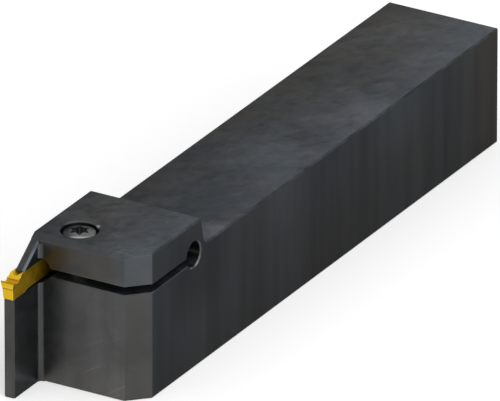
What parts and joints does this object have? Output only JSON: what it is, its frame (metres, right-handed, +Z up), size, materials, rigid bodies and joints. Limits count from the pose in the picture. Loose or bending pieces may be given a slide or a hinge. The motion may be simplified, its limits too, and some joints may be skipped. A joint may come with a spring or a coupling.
{
  "type": "turning tool holder",
  "caption": "Left-hand parting and grooving tool holder with a square shank, a slit spring jaw and a clamped double-ended carbide insert.",
  "frame": {"origin": "rear end of the shank, mid-width, on its underside", "axes": "+X forward along the shank to the cutting edge, +Y to the left side looking forward, +Z up, square to the underside"},
  "size_m": [0.15, 0.0256, 0.031],
  "materials": {
    "blackened_steel": "satin",
    "coated_carbide": "satin",
    "screw_steel": "satin"
  },
  "bodies": {
    "holder": {"holder_body": "blackened_steel"},
    "insert": {"cutting_insert": "coated_carbide"},
    "screw": {"clamp_screw": "screw_steel"}
  },
  "joints": [
    {"name": "screw_turn", "type": "hinge", "parent": "holder", "child": "screw", "pos_m": [0.13335, -0.0052, 0.0309], "axis": [0, 0, 1], "range_deg": [0, 450]},
    {"name": "insert_slide", "type": "slide", "parent": "holder", "child": "insert", "axis": [1, 0, 0], "range_m": [0, 0.021]}
  ]
}
